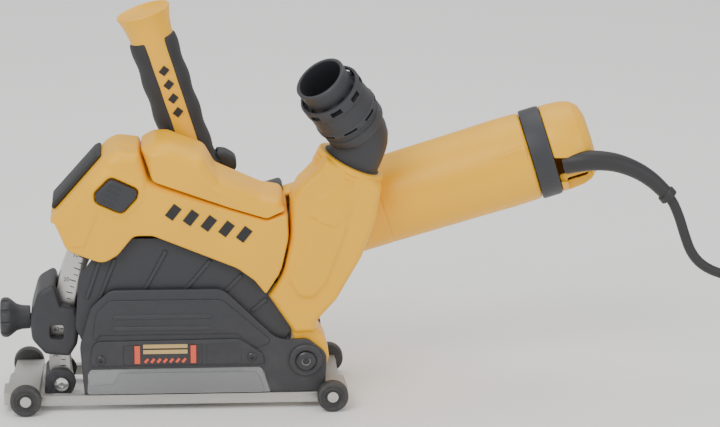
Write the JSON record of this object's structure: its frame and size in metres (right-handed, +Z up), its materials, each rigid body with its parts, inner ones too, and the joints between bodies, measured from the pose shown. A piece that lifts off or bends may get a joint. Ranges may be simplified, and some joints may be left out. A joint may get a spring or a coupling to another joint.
{
  "type": "wall chaser",
  "caption": "Electric wall chaser: diamond discs on a pivoting motor head plunge through a wheeled sole to a set depth, with a side handle, dust port and mains cord.",
  "frame": {"origin": "centre of the tool's box in plan, on the floor under the wheels, without the cord, its plug and its strain relief", "axes": "+X towards the motor's tail, -Y towards the side with the clear window, +Z up from the floor"},
  "size_m": [0.7674, 0.1306, 0.3062],
  "materials": {
    "moulded_yellow": "fine textured moulded plastic",
    "charcoal_plastic": "fine textured glass-filled plastic",
    "soft_grip": "soft overmoulded rubber",
    "cast_aluminium": "die cast, lightly blasted",
    "bright_steel": "zinc plated",
    "dark_steel": "oiled black steel",
    "copper_winding": "bare copper segments",
    "clear_window": "clear polycarbonate, scuffed",
    "wheel_rubber": "hard black rubber",
    "cable_rubber": "black rubber cable sheath",
    "diamond_rim": "steel core with sintered rim"
  },
  "bodies": {
    "base": {"base_frame": "cast_aluminium", "front_axle": "bright_steel", "rear_axle": "bright_steel", "near_skirt": "charcoal_plastic", "far_skirt": "charcoal_plastic", "near_window": "clear_window", "depth_arc": "bright_steel", "arc_foot": "charcoal_plastic", "arc_bolt": "bright_steel", "pivot_pin": "bright_steel", "return_spring": "bright_steel", "skirt_screw_front": "bright_steel", "skirt_screw_rear": "bright_steel", "power_cord": "cable_rubber", "cord_coil": "cable_rubber", "plug": "cable_rubber"},
    "front_wheel_near": {"front_wheel_near": "wheel_rubber"},
    "front_wheel_far": {"front_wheel_far": "wheel_rubber"},
    "rear_wheel_near": {"rear_wheel_near": "wheel_rubber"},
    "rear_wheel_far": {"rear_wheel_far": "wheel_rubber"},
    "stop": {"depth_stop": "charcoal_plastic"},
    "knob": {"depth_knob": "charcoal_plastic"},
    "head": {"near_cover": "moulded_yellow", "far_cover": "moulded_yellow", "hump_cover": "moulded_yellow", "head_shell": "moulded_yellow", "inner_guard": "charcoal_plastic", "front_pad": "soft_grip", "gear_case": "cast_aluminium", "bearing_plate": "cast_aluminium", "spindle_bearing": "bright_steel", "rear_spindle_bearing": "bright_steel", "motor_housing": "moulded_yellow", "stator_core": "dark_steel", "pinion_bearing": "bright_steel", "rear_bearing": "bright_steel", "brush_near": "dark_steel", "brush_far": "dark_steel", "tail_band": "charcoal_plastic", "tail_cap": "moulded_yellow", "strain_relief": "cable_rubber", "handle_core": "moulded_yellow", "handle_grip": "soft_grip"},
    "latch": {"cover_latch": "charcoal_plastic"},
    "switch": {"switch_slider": "charcoal_plastic"},
    "elbow": {"dust_elbow": "charcoal_plastic", "port_sleeve": "charcoal_plastic"},
    "twist_ring": {"port_ring": "charcoal_plastic"},
    "spindle": {"spindle": "bright_steel", "crown_gear": "dark_steel", "inner_flange": "bright_steel", "disc_spacer": "bright_steel", "disc_near": "diamond_rim", "disc_far": "diamond_rim", "outer_nut": "dark_steel"},
    "armature": {"armature_shaft": "bright_steel", "pinion": "dark_steel", "rotor_core": "dark_steel", "commutator": "copper_winding", "cooling_fan": "charcoal_plastic"}
  },
  "joints": [
    {"name": "head_plunge", "type": "hinge", "parent": "base", "child": "head", "pos_m": [0.0023, -0.0049, 0.0395], "axis": [0, -1, 0], "range_deg": [0, 9], "stiffness_Nm_per_rad": 5, "springref_deg": -17.19},
    {"name": "depth_setting", "type": "hinge", "parent": "base", "child": "stop", "pos_m": [0.0023, -0.0049, 0.0395], "axis": [0, -1, 0], "range_deg": [0, 3.5]},
    {"name": "knob_turn", "type": "hinge", "parent": "stop", "child": "knob", "pos_m": [-0.2092, -0.0049, 0.065], "axis": [1, 0, 0], "range_deg": [0, 180]},
    {"name": "front_near_roll", "type": "hinge", "parent": "base", "child": "front_wheel_near", "pos_m": [-0.2132, -0.0479, 0.012], "axis": [0, 1, 0], "continuous": true},
    {"name": "front_far_roll", "type": "hinge", "parent": "base", "child": "front_wheel_far", "pos_m": [-0.2132, 0.0381, 0.012], "axis": [0, 1, 0], "continuous": true},
    {"name": "rear_near_roll", "type": "hinge", "parent": "base", "child": "rear_wheel_near", "pos_m": [0.0228, -0.0479, 0.012], "axis": [0, 1, 0], "continuous": true},
    {"name": "rear_far_roll", "type": "hinge", "parent": "base", "child": "rear_wheel_far", "pos_m": [0.0228, 0.0381, 0.012], "axis": [0, 1, 0], "continuous": true},
    {"name": "latch_press", "type": "slide", "parent": "head", "child": "latch", "axis": [0, 1, 0], "range_m": [0, 0.003], "stiffness_N_per_m": 300, "springref_m": -0.002},
    {"name": "switch_slide", "type": "slide", "parent": "head", "child": "switch", "axis": [-0.9563, 0, -0.2924], "range_m": [0, 0.006]},
    {"name": "elbow_swivel", "type": "hinge", "parent": "head", "child": "elbow", "pos_m": [0.0383, -0.0169, 0.192], "axis": [0.4384, 0, 0.8988], "continuous": true},
    {"name": "ring_twist", "type": "hinge", "parent": "elbow", "child": "twist_ring", "pos_m": [0.04781, -0.0169, 0.2115], "axis": [-0.5186, -0.3491, 0.7805], "range_deg": [0, 30]},
    {"name": "spindle_spin", "type": "hinge", "parent": "head", "child": "spindle", "pos_m": [-0.0917, -0.0049, 0.082], "axis": [0, 1, 0], "continuous": true},
    {"name": "armature_spin", "type": "hinge", "parent": "head", "child": "armature", "pos_m": [-0.0917, 0.0251, 0.0985], "axis": [0.9563, 0, 0.2924], "continuous": true}
  ],
  "couplings": [
    {"joint": "armature_spin", "follows": "spindle_spin", "ratio": 3.6667}
  ]
}
